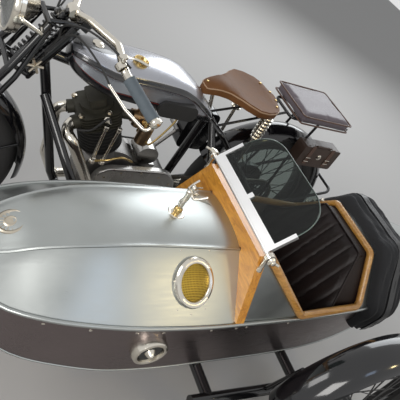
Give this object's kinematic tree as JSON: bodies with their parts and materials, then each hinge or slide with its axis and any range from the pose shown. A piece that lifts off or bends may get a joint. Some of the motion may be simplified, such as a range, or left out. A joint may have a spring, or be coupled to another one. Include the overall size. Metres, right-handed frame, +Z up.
{
  "type": "sidecar motorcycle",
  "caption": "Vintage motorcycle with an inclined single-cylinder engine and girder fork, and a polished boat-shaped sidecar with a wood-trimmed cockpit.",
  "frame": {"origin": "on the ground under the middle of the outfit's plan", "axes": "+X forward, +Y to the left where the sidecar is, +Z up"},
  "size_m": [2.2191, 1.4842, 0.9793],
  "materials": {
    "frame_black": "gloss black enamel",
    "tank_silver": "gloss",
    "guard_black": "gloss",
    "body_aluminium": "polished sheet",
    "engine_alloy": "satin casting",
    "barrel_black": "matt",
    "head_olive": "matt",
    "nickel": "polished nickel",
    "brown_metal": "aged",
    "rubber_grey": "matt",
    "rubber_black": "matt",
    "tyre": "matt",
    "leather_brown": "worn",
    "leather_dark": "pleated",
    "leather_grey": "smooth",
    "hood_cloth": "folded",
    "wood": "varnished",
    "glass": "clear",
    "box_brown": "satin",
    "chain_steel": "oiled"
  },
  "bodies": {
    "outfit": {"frame": "frame_black", "sidecar_chassis": "frame_black", "carrier": "frame_black", "saddle_springs": "nickel", "fuel_tank": "tank_silver", "knee_grips": "rubber_black", "crankcase": "engine_alloy", "gearbox": "engine_alloy", "primary_case": "engine_alloy", "magneto": "engine_alloy", "cylinder": "barrel_black", "cylinder_head": "head_olive", "carburettor": "brown_metal", "exhausts": "nickel", "oil_tank": "frame_black", "saddle": "leather_brown", "pillion_pad": "leather_grey", "toolbox": "box_brown", "rear_guard": "guard_black", "side_guard": "guard_black", "footrests": "rubber_black", "rear_chain": "chain_steel", "hull": "body_aluminium", "front_deck": "body_aluminium", "rear_deck": "body_aluminium", "cockpit_sides": "body_aluminium", "scuttle_hoop": "wood", "coaming": "wood", "windscreen_clamps": "nickel", "seat_cushion": "leather_dark", "seat_back": "leather_dark", "hood": "hood_cloth", "deck_fittings": "nickel"},
    "steering": {"fork": "frame_black", "fork_spring": "frame_black", "handlebar": "nickel", "grips": "rubber_grey", "headlamp": "nickel", "front_guard": "guard_black"},
    "front_wheel_set": {"front_wheel": "guard_black", "front_tyre": "tyre"},
    "rear_wheel_set": {"rear_wheel": "guard_black", "rear_tyre": "tyre"},
    "side_wheel_set": {"side_wheel": "guard_black", "side_tyre": "tyre"},
    "windscreen": {"windscreen_frame": "body_aluminium", "windscreen_glass": "glass"},
    "stand": {"rear_stand": "frame_black"},
    "box_lid": {"toolbox_lid": "box_brown"}
  },
  "joints": [
    {"name": "steering", "type": "hinge", "parent": "outfit", "child": "steering", "pos_m": [0.4465, -0.324, 0.792], "axis": [-0.454, 0, 0.891], "range_deg": [-32, 32]},
    {"name": "front_wheel_spin", "type": "hinge", "parent": "steering", "child": "front_wheel_set", "pos_m": [0.77, -0.324, 0.33], "axis": [0, 1, 0], "continuous": true},
    {"name": "rear_wheel_spin", "type": "hinge", "parent": "outfit", "child": "rear_wheel_set", "pos_m": [-0.58, -0.324, 0.33], "axis": [0, 1, 0], "continuous": true},
    {"name": "side_wheel_spin", "type": "hinge", "parent": "outfit", "child": "side_wheel_set", "pos_m": [-0.48, 0.681, 0.33], "axis": [0, 1, 0], "continuous": true},
    {"name": "windscreen_tilt", "type": "hinge", "parent": "outfit", "child": "windscreen", "pos_m": [0.015, 0.236, 0.763], "axis": [0, 1, 0], "range_deg": [-30, 60]},
    {"name": "stand_swing", "type": "hinge", "parent": "outfit", "child": "stand", "pos_m": [-0.58, -0.324, 0.33], "axis": [0, -1, 0], "range_deg": [0, 84]},
    {"name": "toolbox_lid_hinge", "type": "hinge", "parent": "outfit", "child": "box_lid", "pos_m": [-0.685, -0.1954, 0.7], "axis": [1, 0, 0], "range_deg": [0, 110]}
  ]
}
